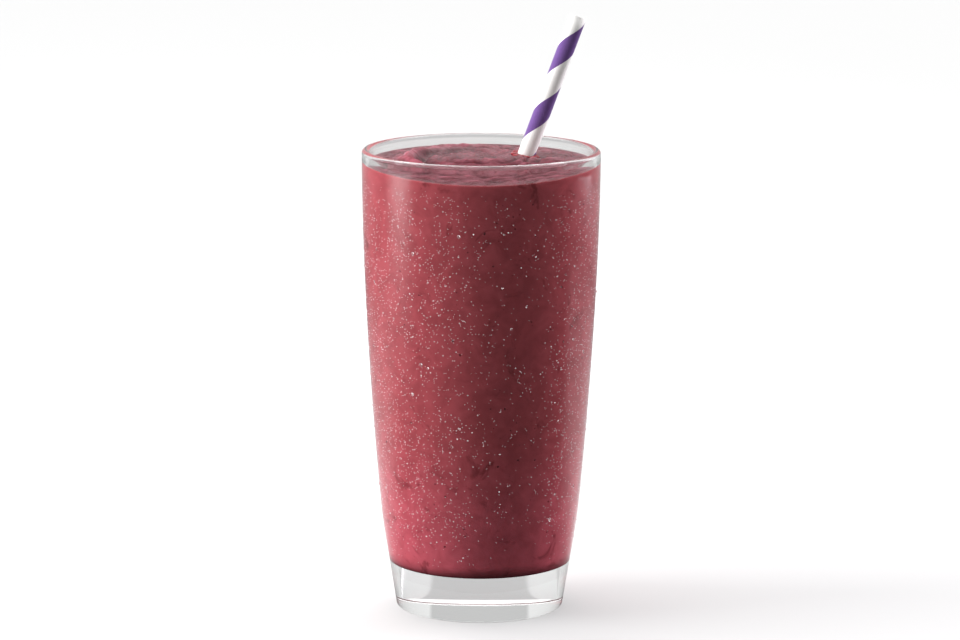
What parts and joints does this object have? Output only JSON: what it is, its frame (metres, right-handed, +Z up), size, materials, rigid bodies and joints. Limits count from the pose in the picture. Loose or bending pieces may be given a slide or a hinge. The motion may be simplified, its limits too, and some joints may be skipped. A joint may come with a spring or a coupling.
{
  "type": "berry smoothie",
  "caption": "Berry smoothie filling a tall clear tumbler with a thick foot, misted with fine condensation, with a striped paper straw leaning in it.",
  "frame": {"origin": "centre of the tumbler's foot, on the surface it stands on", "axes": "+Z up along the tumbler's axis; the straw leans towards +X and a little towards +Y; -Y is the front"},
  "size_m": [0.082, 0.082, 0.205],
  "materials": {
    "tumbler_glass": "clear, polished, fine condensation outside",
    "berry_smoothie": "wet, thick, softly glossy puree with dark flecks",
    "striped_paper": "smooth white rolled paper with one winding purple stripe"
  },
  "bodies": {
    "root": {"glass": "tumbler_glass", "smoothie": "berry_smoothie", "straw": "striped_paper"}
  },
  "joints": []
}
